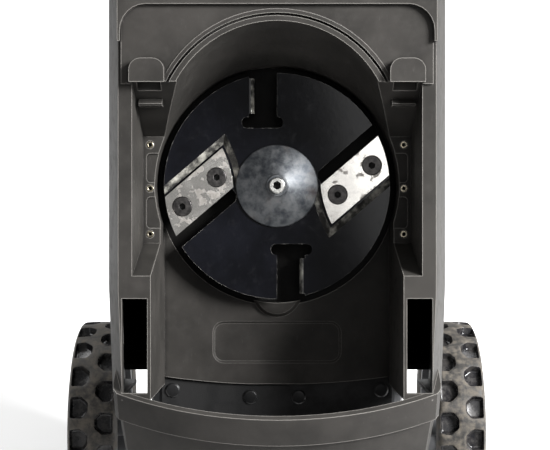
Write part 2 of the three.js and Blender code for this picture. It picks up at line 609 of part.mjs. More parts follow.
const COVER_FRONT = BODY_BACK_W - GAP;
const COVER_BACK = -236;
const COVER_LOW = -187;          // lower edge at the front; the underside is level with the ground
const COVER_SECTIONS = [
  { w: COVER_FRONT, half: 162, top: 239, corner: 28 },
  { w: -62, half: 150, top: 222, corner: 30 },
  { w: -150, half: 118, top: 150, corner: 32 },
  { w: COVER_BACK, half: 90, top: 88, corner: 30 },
];
const levelRise = Math.tan(THREE.MathUtils.degToRad(DISC_TILT));

function coverBlock(inset) {
  return loft(...[...COVER_SECTIONS].reverse().map(({ w, half, top, corner }) => {
    const low = COVER_LOW + (COVER_FRONT - w) * levelRise;
    const depth = w === COVER_BACK ? w + inset : w;
    const front = w === COVER_FRONT ? depth + (inset > 0 ? 1 : 0) : depth;
    return {
      outline: roundRectangle(-half + inset, half - inset, low + inset * 1.2, top - inset * 1.2,
        Math.max(8 - inset, 3), corner - inset, 7),
      w: front,
    };
  }));
}

const VENT_HALF = 58;
const VENT_HEIGHT = 7;
const VENT_STEP = 16;

function rearCover() {
  let cover = cut(coverBlock(0), coverBlock(SKIN));
  for (let row = -3; row <= 3; row += 1) {
    const v = 8 + row * VENT_STEP;
    cover = cut(cover, prism(roundRectangle(-VENT_HALF, VENT_HALF, v, v + VENT_HEIGHT, 3, 3, 3),
      COVER_BACK - 1, COVER_BACK + SKIN + 1));
  }
  return cover;
}
addPiece(incline, 'rear_cover', rearCover(), PLASTIC);

const BUTTON_FACE = 160;
const BUTTONS = [
  { name: 'start_button', v: 88, radius: 9, material: GREEN_PLASTIC },
  { name: 'stop_button', v: 62, radius: 9, material: RED_PLASTIC },
  { name: 'reset_button', v: 40, radius: 5, material: GREY_PLASTIC },
];
const BUTTON_W = -108;

// The switch box sits against the cover's sloping right side.
let switchBox = box(100, BUTTON_FACE, 22, 108, -140, -78);
switchBox = cut(switchBox, coverBlock(-GAP));
for (const { v, radius } of BUTTONS) {
  switchBox = cut(switchBox, barX(radius + 0.5, 148, BUTTON_FACE + 1, v, BUTTON_W, 24));
}
addPiece(incline, 'switch_box', switchBox, GREY_PLASTIC);
for (const { name, v, radius, material } of BUTTONS) {
  addPiece(incline, name, barX(radius, 152, BUTTON_FACE + 4, v, BUTTON_W, 24), material);
}
const inlet = cut(
  profileX(points([2, -124], [21.7, -124], [21.7, -94], [2, -94]), 134, 157),
  profileX(points([1, -119], [16, -119], [16, -99], [1, -99]), 138, 153),
);
addPiece(incline, 'power_inlet', cut(inlet, coverBlock(-GAP)), GREY_PLASTIC);

// Carrying handle across the sloping top of the cover.
const slopeTop = new THREE.Vector3(0, 222, -62);
const slopeLow = new THREE.Vector3(0, 150, -150);
const slopeNormal = new THREE.Vector3(0, slopeTop.z - slopeLow.z, slopeLow.y - slopeTop.y).normalize();
const slopeMiddle = slopeTop.clone().lerp(slopeLow, 0.5);
const handlePoint = (u, out) => slopeMiddle.clone().addScaledVector(slopeNormal, out).setX(u);
const HANDLE_HALF = 80;
const HANDLE_REACH = 55;
addPiece(incline, 'carry_handle', bentBar([
  handlePoint(-HANDLE_HALF, 1), handlePoint(-HANDLE_HALF, HANDLE_REACH),
  handlePoint(HANDLE_HALF, HANDLE_REACH), handlePoint(HANDLE_HALF, 1),
], 11, 26), FRAME_PAINT);

// Safety interlock: the hopper's tongue pushes the plunger up the slope into the switch.
addPiece(incline, 'interlock_plunger',
  box(PLUNGER.u0, PLUNGER.u1, PLUNGER.v0, PLUNGER.v1, PLUNGER.w0, PLUNGER.w1), RED_PLASTIC);
addPiece(incline, 'interlock_switch', box(109, 129, 131, 154, 80, RAIL_W - SKIN - GAP), GREY_PLASTIC);

// ---------------------------------------------------------------- discharge flap

const FLAP_FRONT = CHUTE_W - SKIN - GAP;
const FLAP_THICK = 3.5;
const FLAP_HALF = 117;
const FLAP_LOW = -246;
const STRIP_FRONT = FLAP_FRONT - FLAP_THICK - GAP;
const STRIP_BACK = COVER_FRONT + GAP;
const RIVETS = [[-106, -207], [-27, -214], [22, -214], [106, -207]];
const RIVET_HEAD = 7.6;
const RIVET_SHANK = 3.5;

const rivetHoles = RIVETS.map(([u, v]) => prism(circle(RIVET_SHANK + GAP, u, v, 12), -40, 0));
const flapOutline = roundRectangle(-FLAP_HALF, FLAP_HALF, FLAP_LOW, FLAP_TOP, 10, 2, 4);
const flap = prism(flapOutline, FLAP_FRONT - FLAP_THICK, FLAP_FRONT);
addPiece(incline, 'discharge_flap', cut(flap, ...rivetHoles), RUBBER);
const stripOutline = roundRectangle(-FLAP_HALF, FLAP_HALF, -226, FLAP_TOP, 2, 2, 2);
addPiece(incline, 'flap_strip', cut(prism(stripOutline, STRIP_BACK, STRIP_FRONT), ...rivetHoles), ZINC);
const rivet = turned([[0, STRIP_BACK - 2.5], [5.5, STRIP_BACK - 2.5], [5.5, STRIP_BACK - GAP],
  [RIVET_SHANK, STRIP_BACK - GAP], [RIVET_SHANK, FLAP_FRONT + GAP], [RIVET_HEAD, FLAP_FRONT + GAP],
  [RIVET_HEAD, FLAP_FRONT + 1], [RIVET_HEAD - 1.6, FLAP_FRONT + 2.4], [0, FLAP_FRONT + 2.8]], 16);
for (const [index, [u, v]] of RIVETS.entries()) {
  addPiece(incline, `flap_rivet_${index + 1}`, toGeometry(rivet).translate(u, v, 0), BLACK_OXIDE);
}

// ---------------------------------------------------------------- front skirt, level with the ground

incline.updateMatrix();
const inGround = (solid) => toSolid(toGeometry(solid).applyMatrix4(incline.matrix));

const LIP_TOP = 393;
const BAND_LOW = 363;
const SKIRT_LOW = 196;
const BOW_HALF = 148;            // the lip bows forward between its corners
const BOW_DEPTH = 39;
const BOW_CORNER_Y = -184.7;
const SKIRT_SIDE = 153;
const SKIRT_BACK_Y = -131;
const BOW_RADIUS = (BOW_HALF ** 2 + BOW_DEPTH ** 2) / (2 * BOW_DEPTH);
const BOW_CENTRE_Y = BOW_CORNER_Y - BOW_DEPTH + BOW_RADIUS;

// One side-to-side path round the front of the skirt, moved inwards by the inset.
function skirtPath(inset) {
  const radius = BOW_RADIUS - inset;
  const reach = Math.asin((BOW_HALF - inset) / radius);
  const bow = Array.from({ length: 25 }, (_, i) => {
    const angle = -reach + (2 * reach * i) / 24;
    return new THREE.Vector2(radius * Math.sin(angle), BOW_CENTRE_Y - radius * Math.cos(angle));
  });
  const side = SKIRT_SIDE - inset;
  const turnIn = inset * 0.45;
  const left = points([-side, SKIRT_BACK_Y], [-side, -170 + turnIn], [-side + 1.4, -178.5 + turnIn]);
  const right = left.map((p) => new THREE.Vector2(-p.x, p.y)).reverse();
  return [...left, ...bow, ...right];
}

const skirtBand = (outer, thick) => [...skirtPath(outer), ...skirtPath(outer + thick).reverse()];
const skirtSolid = join(
  prism(skirtBand(0, 6), BAND_LOW, LIP_TOP),
  loft({ outline: skirtBand(16, SKIN), w: SKIRT_LOW }, { outline: skirtBand(3.5, SKIN), w: BAND_LOW + 2 }),
);
addPiece(machine, 'front_skirt', cut(skirtSolid, inGround(bodyBlock(-GAP))), PLASTIC);

// ---------------------------------------------------------------- stand and wheels

const tilt = THREE.MathUtils.degToRad(DISC_TILT);
const UNDERSIDE = DISC_HEIGHT + COVER_LOW * Math.cos(tilt) + COVER_FRONT * Math.sin(tilt);
const RUN_HEIGHT = UNDERSIDE - GAP - LEG_RADIUS;
const RUN_FRONT_Y = -52;
const RUN_BACK_Y = 66;
const FOOT_HEIGHT = 18;
const FOOT_BAR_HALF = 150;
const LUG_RADIUS = 15;

// The same shape on the other side of the machine.
function sideways(geometry, sign) {
  if (sign > 0) return geometry;
  const copy = geometry.index ? geometry.toNonIndexed() : geometry.clone();
  copy.scale(-1, 1, 1);
  const place = copy.attributes.position;
  for (let i = 0; i < place.count; i += 3) {
    const second = new THREE.Vector3().fromBufferAttribute(place, i + 1);
    const third = new THREE.Vector3().fromBufferAttribute(place, i + 2);
    place.setXYZ(i + 1, ...third);
    place.setXYZ(i + 2, ...second);
  }
  copy.computeVertexNormals();
  return copy;
}

// A turned shape whose axis is the axle; the profile holds radius and distance along X.
function aboutAxle(profile, segments) {
  const closed = profile[0][0] === 0 ? profile : [...profile, profile[0]];
  const shape = new THREE.LatheGeometry(points(...closed), segments);
  const lay = new THREE.Matrix4().makeBasis(
    new THREE.Vector3(0, 1, 0), new THREE.Vector3(1, 0, 0), new THREE.Vector3(0, 0, -1));
  return shape.applyMatrix4(lay).translate(0, AXLE_Y, WHEEL_RADIUS);
}

const TYRE_BORE = 92;
const WEB_HOLE_RADIUS = 17;
const WEB_HOLE_PITCH = 52;
const TYRE_PROFILE = [
  [TYRE_BORE, WHEEL_INNER + 2], [112, WHEEL_INNER], [WHEEL_RADIUS, WHEEL_INNER + 7],
  [WHEEL_RADIUS, WHEEL_INNER + WHEEL_WIDTH - 7], [112, WHEEL_INNER + WHEEL_WIDTH],
  [TYRE_BORE, WHEEL_INNER + WHEEL_WIDTH - 2],
];

// Rim, web with round holes, and hub, in one moulding.
function wheelRim() {
  const band = (inner, outer, x0, x1, segments) => toSolid(aboutAxle(
    [[inner, x0], [outer, x0], [outer, x1], [inner, x1]], segments));
  const outside = WHEEL_INNER + WHEEL_WIDTH;
  let rim = join(
    band(84, TYRE_BORE - GAP, WHEEL_INNER + 3, outside - 3, 48),
    band(18, 85, outside - 24, outside - 18, 32),
    band(AXLE_RADIUS + GAP, 20, WHEEL_INNER, outside, 24),
  );
  for (let i = 0; i < 6; i += 1) {
    const angle = (Math.PI / 3) * i;
    const y = AXLE_Y + WEB_HOLE_PITCH * Math.cos(angle);
    const z = WHEEL_RADIUS + WEB_HOLE_PITCH * Math.sin(angle);
    rim = cut(rim, barX(WEB_HOLE_RADIUS, WHEEL_INNER, outside, y, z, 12));
  }
  return rim;
}

const footBar = barX(LEG_RADIUS, -FOOT_BAR_HALF, FOOT_BAR_HALF, FOOT_Y, FOOT_HEIGHT);
addPiece(machine, 'foot_bar', footBar, FRAME_PAINT);
const axleHalf = WHEEL_INNER + WHEEL_WIDTH + 5;
const axle = barX(AXLE_RADIUS, -axleHalf, axleHalf, AXLE_Y, WHEEL_RADIUS);
addPiece(machine, 'axle', axle, GROUND_STEEL);

for (const [side, sign] of [['left', -1], ['right', 1]]) {
  const x = sign * LEG_X;
  const corner = (y, z) => new THREE.Vector3(x, y, z);
  const tube = bentBar([corner(FOOT_Y, FOOT_HEIGHT), corner(RUN_FRONT_Y, RUN_HEIGHT),
    corner(RUN_BACK_Y, RUN_HEIGHT), corner(AXLE_Y, WHEEL_RADIUS)], LEG_RADIUS, 55);
  const lug = barX(LUG_RADIUS, x - LEG_RADIUS, x + LEG_RADIUS, AXLE_Y, WHEEL_RADIUS);
  const leg = cut(join(tube, lug),
    barX(AXLE_RADIUS + GAP, x - 40, x + 40, AXLE_Y, WHEEL_RADIUS),
    barX(LEG_RADIUS + GAP, x - 40, x + 40, FOOT_Y, FOOT_HEIGHT));
  addPiece(machine, `${side}_leg`, leg, FRAME_PAINT);

  const footOutline = roundRectangle(x - 20, x + 20, FOOT_Y - 20, FOOT_Y + 20, 6, 6, 4);
  const saddle = prism(footOutline, 0, FOOT_HEIGHT - 5);
  const foot = cut(saddle, barX(LEG_RADIUS + GAP, x - 40, x + 40, FOOT_Y, FOOT_HEIGHT));
  addPiece(machine, `${side}_foot`, foot, RUBBER);

  const legSide = LEG_X + LEG_RADIUS + GAP;
  const brace = profileX(points([-140, 212], [-96, 212], [-92, 232], [-140, 232]), legSide, legSide + 3.1);
  addPiece(machine, `${side}_brace`, sideways(toGeometry(brace), sign), FRAME_PAINT);

  const spacer = aboutAxle([[AXLE_RADIUS + GAP, legSide], [10, legSide], [10, WHEEL_INNER - GAP],
    [AXLE_RADIUS + GAP, WHEEL_INNER - GAP]], 24);
  addPiece(machine, `${side}_spacer`, sideways(spacer, sign), ZINC);
  addPiece(machine, `${side}_tyre`, sideways(aboutAxle(TYRE_PROFILE, 48), sign), RUBBER);
  addPiece(machine, `${side}_rim`, sideways(toGeometry(wheelRim()), sign), GREY_PLASTIC);
  const capBase = WHEEL_INNER + WHEEL_WIDTH + GAP;
  const cap = aboutAxle([[0, capBase + 5], [AXLE_RADIUS + GAP, capBase + 5], [AXLE_RADIUS + GAP, capBase],
    [20, capBase], [20, capBase + 7], [14, capBase + 12], [0, capBase + 13]], 24);
  addPiece(machine, `${side}_hub_cap`, sideways(cap, sign), GREY_PLASTIC);
}

// The origin is on the ground under the middle of the machine's box.
const limits = new THREE.Box3().setFromObject(machine, true);
machine.position.y = -(limits.min.y + limits.max.y) / 2;

export default chipper;
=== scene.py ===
"""Looks of the wood chipper: rounded meshes, procedural finishes, tyres, studio and camera."""

import json
import math

import bmesh
import bpy
from mathutils import Matrix, Vector, geometry


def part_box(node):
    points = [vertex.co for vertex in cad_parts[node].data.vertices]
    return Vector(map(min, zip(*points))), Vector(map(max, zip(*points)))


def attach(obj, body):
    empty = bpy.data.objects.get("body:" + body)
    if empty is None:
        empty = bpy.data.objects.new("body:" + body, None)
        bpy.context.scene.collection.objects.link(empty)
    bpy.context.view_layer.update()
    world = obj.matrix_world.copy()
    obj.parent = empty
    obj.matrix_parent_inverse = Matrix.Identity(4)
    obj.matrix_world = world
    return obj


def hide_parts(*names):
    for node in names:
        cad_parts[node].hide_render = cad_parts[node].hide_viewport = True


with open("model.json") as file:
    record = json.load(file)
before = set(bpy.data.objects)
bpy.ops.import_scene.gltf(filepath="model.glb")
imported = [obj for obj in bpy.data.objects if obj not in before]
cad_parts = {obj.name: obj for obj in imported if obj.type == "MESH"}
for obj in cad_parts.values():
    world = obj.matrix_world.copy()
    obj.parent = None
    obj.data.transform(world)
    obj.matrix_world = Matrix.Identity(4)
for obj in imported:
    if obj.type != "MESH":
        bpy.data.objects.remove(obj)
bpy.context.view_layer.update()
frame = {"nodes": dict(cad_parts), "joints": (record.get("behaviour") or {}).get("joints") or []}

MM = 0.001

# The disc's own frame: U to the right, V up the slope, N out of the disc's face.
SPIN = next(joint for joint in frame["joints"] if joint["name"] == "cutter_spin")
CENTRE = Vector(SPIN["pos_m"])
U = Vector((1, 0, 0))
N = Vector(SPIN["axis"]).normalized()
V = N.cross(U).normalized()


def place(u, v, w):
    """A point of the disc's frame, given in millimetres, in the row frame."""
    return CENTRE + (U * u + V * v + N * w) * MM


# ---------------------------------------------------------------- finishes

EDGE_SAMPLES = 6                 # rays that look for an edge or a corner
# Colour of open edges: painted highlight, partly rubbing.
EDGE_HIGHLIGHT_AND_WEAR = (0.13, 0.124, 0.115)
# Colour for corners and grooves: painted shade.
CORNER_SHADE = (0.003, 0.0029, 0.0028)
# Colour for surfaces deep behind the disc's face: painted shade.
DEEP_SHADE = (0.0025, 0.0024, 0.0023)
DEEP_SHADE_STARTS = -21.5              # painted shade starts from here down, measured from the disc's face
DEEP_SHADE_FULL = -23.5


class Finish:
    """A node material whose colour, roughness and relief come from procedural patterns."""

    def __init__(self, name, metallic=0.0, coat=0.0, coat_roughness=0.1, specular=0.5):
        self.material = bpy.data.materials.new(name)
        self.material.use_nodes = True
        self.tree = self.material.node_tree
        self.shader = self.tree.nodes["Principled BSDF"]
        self.shader.inputs["Metallic"].default_value = metallic
        self.shader.inputs["Coat Weight"].default_value = coat
        self.shader.inputs["Coat Roughness"].default_value = coat_roughness
        self.shader.inputs["Specular IOR Level"].default_value = specular
        self.place = self.node("ShaderNodeTexCoord").outputs["Object"]
        self.normal = None

    def node(self, kind, inputs=(), **settings):
        made = self.tree.nodes.new(kind)
        for key, value in settings.items():
            setattr(made, key, value)
        for key, value in dict(inputs).items():
            self.feed(made.inputs[key], value)
        return made

    def feed(self, socket, value):
        if isinstance(value, bpy.types.NodeSocket):
            self.tree.links.new(value, socket)
        elif socket.type == "RGBA":
            socket.default_value = (*value, 1.0)
        else:
            socket.default_value = value

    def mapped(self, stretch=(1, 1, 1), turn=(0, 0, 0), shift=(0, 0, 0)):
        return self.node("ShaderNodeMapping", {
            "Vector": self.place, "Scale": stretch, "Rotation": turn, "Location": shift,
        }).outputs["Vector"]

    def step(self, value, low, high, to_low=0.0, to_high=1.0):
        """Eases from to_low to to_high as value goes from low to high."""
        return self.node("ShaderNodeMapRange", {
            "Value": value, "From Min": low, "From Max": high, "To Min": to_low, "To Max": to_high,
        }, interpolation_type="SMOOTHSTEP").outputs["Result"]

    def noise(self, size, detail=3.0, rough=0.55, where=None):
        """Noise whose blotches are about size millimetres across."""
        return self.node("ShaderNodeTexNoise", {
            "Vector": self.place if where is None else where,
            "Scale": 1.0 / (size * MM), "Detail": detail, "Roughness": rough,
        }).outputs["Fac"]

    def mix(self, share, first, second):
        made = self.node("ShaderNodeMix", data_type="RGBA")
        for index, value in ((0, share), (6, first), (7, second)):
            self.feed(made.inputs[index], value)
        return made.outputs[2]

    def math(self, operation, first, second=0.0):
        return self.node("ShaderNodeMath", {0: first, 1: second}, operation=operation).outputs[0]

    def edge(self, width, low=0.9, high=0.998):
        """1 along edges sharper than the bevel of this width in millimetres, 0 on open faces."""
        rounded = self.node("ShaderNodeBevel", {"Radius": width * MM},
                            samples=EDGE_SAMPLES).outputs["Normal"]
        flat = self.node("ShaderNodeNewGeometry").outputs["Normal"]
        agree = self.node("ShaderNodeVectorMath", {0: rounded, 1: flat}, operation="DOT_PRODUCT")
        return self.step(agree.outputs["Value"], low, high, 1.0, 0.0)

    def facing(self, direction):
        """How much the surface faces a direction of the row frame, as it stands at rest."""
        normal = self.node("ShaderNodeTexCoord").outputs["Normal"]
        return self.node("ShaderNodeVectorMath", {0: normal, 1: tuple(direction)},
                         operation="DOT_PRODUCT").outputs["Value"]

    def depth(self):
        """Distance in front of the disc's face, in metres."""
        offset = self.node("ShaderNodeVectorMath", {0: self.place, 1: tuple(CENTRE)},
                           operation="SUBTRACT").outputs["Vector"]
        return self.node("ShaderNodeVectorMath", {0: offset, 1: tuple(N)},
                         operation="DOT_PRODUCT").outputs["Value"]

    def crevice(self, reach, low=0.35, high=0.85):
        """1 deep in corners and grooves narrower than reach millimetres, 0 in the open."""
        opening = self.node("ShaderNodeAmbientOcclusion", {"Distance": reach * MM},
                            samples=EDGE_SAMPLES, only_local=True).outputs["AO"]
        return self.step(opening, low, high, 1.0, 0.0)

    def relief(self, height, depth, strength=1.0):
        """Adds a bump whose full height is depth millimetres."""
        inputs = {"Height": height, "Distance": depth * MM, "Strength": strength}
        if self.normal is not None:
            inputs["Normal"] = self.normal
        self.normal = self.node("ShaderNodeBump", inputs).outputs["Normal"]

    def done(self, colour, roughness):
        self.feed(self.shader.inputs["Base Color"], colour)
        self.feed(self.shader.inputs["Roughness"], roughness)
        if self.normal is not None:
            self.feed(self.shader.inputs["Normal"], self.normal)
        return self.material


def moulded_plastic(name, dark, light, rough=(0.36, 0.5), grain=0.05, dust=0.25, specular=0.4,
                    depth_shade_share=0.0):
    """Spark-textured moulding: fine grain, slow colour drift, handling haze, and paler edges that are
    partly wear and partly painted highlight.

    With the depth share given, open edges get a paler painted highlight with some rubbing, corners and
    grooves are darkened as painted shade, and what lies well below the disc's face is darkened by that
    share as painted shade.
    """
    f = Finish(name, specular=specular)
    drift = f.noise(60, 4)
    haze = f.step(f.noise(14, 5, 0.7), 0.45, 0.75)
    scratch = f.step(f.noise(2.2, 2, 0.5, f.mapped((1, 0.08, 0.3), (0.3, 0.5, 0.9))), 0.66, 0.8)
    base = f.mix(f.step(drift, 0.3, 0.7), dark, light)
    paler_dust_and_highlight = tuple(min(1.0, 2.2 * c + 0.012) for c in light)
    # Edges are made paler: partly wear, partly painted highlight.
    worn_and_painted_light = f.mix(f.math("MULTIPLY", f.edge(1.2), 0.7), base, paler_dust_and_highlight)
    if depth_shade_share:
        # Open edges away from corners get a still paler colour: painted highlight, partly rubbing.
        sheltered = f.math("MULTIPLY", f.edge(1.4, 0.88, 0.995), f.crevice(9, 0.6, 0.8))
        edge_highlight_and_rubbing = f.math("SUBTRACT", f.edge(1.4, 0.88, 0.995), sheltered)
        worn_and_painted_light = f.mix(edge_highlight_and_rubbing, worn_and_painted_light, EDGE_HIGHLIGHT_AND_WEAR)
        # Corners and grooves found by occlusion are darkened: painted shade.
        worn_and_painted_light = f.mix(f.math("MULTIPLY", f.crevice(7), 0.75), worn_and_painted_light, CORNER_SHADE)
    colour = f.mix(f.math("MULTIPLY", haze, dust * 0.35), worn_and_painted_light, paler_dust_and_highlight)
    colour = f.mix(f.math("MULTIPLY", scratch, 0.18), colour, paler_dust_and_highlight)
    if depth_shade_share:
        # Surfaces well below the disc's face are darkened: painted shade.
        depth_shaded = f.step(f.depth(), DEEP_SHADE_FULL * MM, DEEP_SHADE_STARTS * MM, depth_shade_share, 0.0)
        colour = f.mix(depth_shaded, colour, DEEP_SHADE)
    roughness = f.step(f.math("ADD", f.math("MULTIPLY", drift, 0.6), f.math("MULTIPLY", haze, 0.4)),
                       0.2, 0.8, *rough)
    f.relief(f.noise(0.9, 2, 0.6), grain)
    f.relief(f.noise(45, 2), 0.25, 0.4)
    return f.done(colour, roughness)


def rubber(name, dark, dust, share, size=5.0, rough=(0.55, 0.8)):
    """Rubber with a dry bloom in patches, mould grain and dust caught in it."""
    f = Finish(name, specular=0.25)
    bloom = f.step(f.noise(size * 3, 4, 0.65), 0.35, 0.7)
    specks = f.step(f.noise(size * 0.35, 3, 0.7), 0.55, 0.72)
    colour = f.mix(f.math("MULTIPLY", bloom, share), dark, dust)
    colour = f.mix(f.math("MULTIPLY", specks, share * 0.7), colour, dust)
    f.relief(f.noise(1.1, 3, 0.65), 0.12)
    return f.done(colour, f.step(bloom, 0.0, 1.0, *rough))


def metal(name, dark, light, rough, grain=6.0, lines=0.0, pits=0.03, direction=(0, 0, 0), rust=0.0):
    """Bare or plated metal: mottled tone, fine machining lines and, where asked, brown stains."""
    f = Finish(name, metallic=1.0)
    tone = f.step(f.noise(grain, 5, 0.65), 0.3, 0.7)
    colour = f.mix(tone, dark, light)
    stain = f.step(f.noise(grain * 2.5, 4, 0.6), 0.56, 0.72)
    if rust:
        colour = f.mix(f.math("MULTIPLY", stain, rust), colour, (0.16, 0.085, 0.04))
    if lines:
        brushed = f.noise(0.35, 3, 0.6, f.mapped((1, 0.03, 1), direction))
        f.relief(brushed, lines)
    f.relief(f.noise(grain * 0.25, 3, 0.6), pits)
    spread = f.math("ADD", f.math("MULTIPLY", tone, 0.5), f.math("MULTIPLY", stain, 0.5))
    return f.done(colour, f.step(spread, 0.0, 1.0, *rough))


def disc_paint(name):
    """Glossy blue-black enamel; edges and folded and sloping faces are paler in patches, partly rubbing
    where chips slide and partly painted highlight.
    """
    f = Finish(name, coat=0.08, coat_roughness=0.1, specular=0.14)
    drift = f.step(f.noise(35, 4, 0.6), 0.3, 0.7)
    smear = f.step(f.noise(9, 5, 0.7), 0.5, 0.75)
    chipped = f.step(f.noise(7, 3), 0.4, 0.62, 0.05, 0.6)
    # Edges get a paler colour in patches: painted highlight, partly chipped paint.
    edge_highlight_and_rubbing = f.math("MULTIPLY", f.edge(0.6, 0.86, 0.99), chipped)
    colour = f.mix(drift, (0.0016, 0.0017, 0.0024), (0.0030, 0.0032, 0.0046))
    colour = f.mix(f.math("MULTIPLY", smear, 0.12), colour, (0.016, 0.016, 0.018))
    colour = f.mix(edge_highlight_and_rubbing, colour, (0.30, 0.29, 0.27))
    # Sloping faces, such as the walls of the blade pockets, get paler patches: painted highlight, partly
    # rubbing by chips.
    tilt = f.facing(N)
    sloping = f.math("MULTIPLY", f.step(tilt, 0.35, 0.5), f.step(tilt, 0.93, 0.985, 1.0, 0.0))
    patches = f.step(f.noise(13, 4, 0.6), 0.42, 0.66, 0.03, 0.4)
    slope_highlight_and_rubbing = f.math("MULTIPLY", sloping, patches)
    colour = f.mix(slope_highlight_and_rubbing, colour, (0.58, 0.56, 0.50))
    f.relief(f.noise(3.5, 3, 0.5), 0.02)
    return f.done(colour, f.step(smear, 0.0, 1.0, 0.12, 0.24))


def blade_steel(name):
    """Ground steel: fine grinding lines, with hard-edged grey and brown stains of sap."""
    f = Finish(name, metallic=1.0)
    tone = f.step(f.noise(16, 4, 0.6), 0.3, 0.7)
    stain = f.step(f.noise(17, 6, 0.62), 0.53, 0.565)
    film = f.step(f.noise(6, 5, 0.7), 0.35, 0.7)
    lines = f.noise(0.4, 2, 0.5, f.mapped((1, 0.04, 1), (0, 0, 0.7)))
    colour = f.mix(tone, (0.60, 0.58, 0.55), (0.74, 0.72, 0.68))
    sap = f.mix(film, (0.20, 0.185, 0.17), (0.38, 0.355, 0.33))
    colour = f.mix(f.math("MULTIPLY", stain, 0.85), colour, sap)
    f.relief(lines, 0.012)
    f.relief(f.math("MULTIPLY", stain, film), 0.03)
    dulling = f.math("ADD", stain, f.math("MULTIPLY", tone, 0.2))
    return f.done(colour, f.step(dulling, 0.0, 1.2, 0.2, 0.5))


FINISHES = {
    "housing_plastic": moulded_plastic(
        "housing_plastic", (0.0135, 0.0128, 0.0118), (0.023, 0.0215, 0.0198), (0.5, 0.64),
        specular=0.06, depth_shade_share=0.9),
    "disc_paint": disc_paint("disc_paint"),
    "blade_steel": blade_steel("blade_steel"),
    "black_oxide": metal("black_oxide", (0.035, 0.034, 0.034), (0.085, 0.08, 0.078), (0.34, 0.5), 4),
    "zinc": metal(
        "zinc", (0.036, 0.040, 0.046), (0.120, 0.124, 0.128), (0.48, 0.66), 11, pits=0.06, rust=0.1),
    "bolt_zinc": metal("bolt_zinc", (0.50, 0.50, 0.48), (0.72, 0.71, 0.68), (0.26, 0.42), 4),
    "shaft_steel": metal("shaft_steel", (0.48, 0.47, 0.46), (0.66, 0.65, 0.63), (0.22, 0.4), 8, 0.02),
    "copper_winding": metal(
        "copper_winding", (0.45, 0.19, 0.09), (0.66, 0.31, 0.15), (0.3, 0.45), 3, 0.2),
    "brass_insert": metal("brass_insert", (0.26, 0.23, 0.17), (0.42, 0.38, 0.30), (0.25, 0.4), 3),
    "flap_rubber": rubber("flap_rubber", (0.0022, 0.0022, 0.0024), (0.007, 0.0066, 0.0062), 0.3, 9.0),
    "tyre_rubber": rubber("tyre_rubber", (0.010, 0.0095, 0.009), (0.085, 0.074, 0.06), 0.7, 2.6),
    "grey_plastic": moulded_plastic(
        "grey_plastic", (0.030, 0.0305, 0.032), (0.042, 0.0425, 0.044), specular=0.25),
    "frame_paint": moulded_plastic("frame_paint", (0.014, 0.0145, 0.016), (0.024, 0.0245, 0.026),
                                   (0.28, 0.4), 0.09, 0.12),
    "green_plastic": moulded_plastic(
        "green_plastic", (0.02, 0.17, 0.045), (0.03, 0.22, 0.06), (0.28, 0.4)),
    "red_plastic": moulded_plastic(
        "red_plastic", (0.36, 0.022, 0.015), (0.45, 0.035, 0.022), (0.28, 0.4)),
}

# ---------------------------------------------------------------- rounding of the CAD nodes

WELD_MM = 0.02
FLAT_DEGREES = 0.6               # faces this close to one plane become one face
SHARP_DEGREES = 28               # edges sharper than this are rounded
BEVEL_STEPS = 2
USUAL_BEVEL = 0.4


def soften(name, bevel):
    """Welds a node's faces, merges its flat ones, and rounds its sharp edges by bevel millimetres."""
    node = frame["nodes"][name]
    mesh = node.data
    for spare in ("custom_normal", "sharp_edge", "sharp_face"):
        if spare in mesh.attributes:
            mesh.attributes.remove(mesh.attributes[spare])
    mesh.shade_smooth()
    weld = node.modifiers.new("weld", "WELD")
    weld.merge_threshold = WELD_MM * MM
    flat = node.modifiers.new("flat", "DECIMATE")
    flat.decimate_type = "DISSOLVE"
    flat.angle_limit = math.radians(FLAT_DEGREES)
    edge = node.modifiers.new("edge", "BEVEL")
    edge.width = bevel * MM
    edge.segments = BEVEL_STEPS
    edge.limit_method = "ANGLE"
    edge.angle_limit = math.radians(SHARP_DEGREES)
    edge.use_clamp_overlap = True
    edge.harden_normals = False
    normals = node.modifiers.new("normals", "WEIGHTED_NORMAL")
    normals.keep_sharp = True


RIVET_BLACK = moulded_plastic(
    "rivet_black", (0.003, 0.003, 0.0032), (0.006, 0.006, 0.0062), (0.35, 0.5), specular=0.25)
BEVELS = {
    "chamber_housing": 0.7, "front_skirt": 1.0, "rear_cover": 1.2, "switch_box": 1.4, "power_inlet": 0.8,
    "cutter_disc": 0.5, "blade_1": 0.25, "blade_2": 0.25, "hub_cone": 0.3, "hub_bolt": 0.4,
    "discharge_flap": 0.6, "flap_strip": 0.4, "interlock_plunger": 0.6, "interlock_switch": 0.8,
    "start_button": 1.2, "stop_button": 1.2, "reset_button": 0.8,
}
for name, node in frame["nodes"].items():
    soften(name, BEVELS.get(name, USUAL_BEVEL))
    slot = node.data.materials[0].name.split(".")[0]
    node.data.materials[0] = RIVET_BLACK if name.startswith("flap_rivet") else FINISHES[slot]

# The hexagon sockets of the screws and the hub bolt are blackened: painted shade.
SOCKET_SHADE = rubber("socket_painted_shade", (0.0015, 0.0015, 0.0015), (0.006, 0.0055, 0.005), 0.3, 1.0)
SOCKET_RIM = 3.5                 # the socket's faces reach at least this far below the head's top
SOCKET_FLOOR = 6.5               # and no further than this
SOCKET_REACH = {f"blade_screw_{number}": 3.7 for number in (1, 2, 3, 4)} | {"hub_bolt": 4.5}


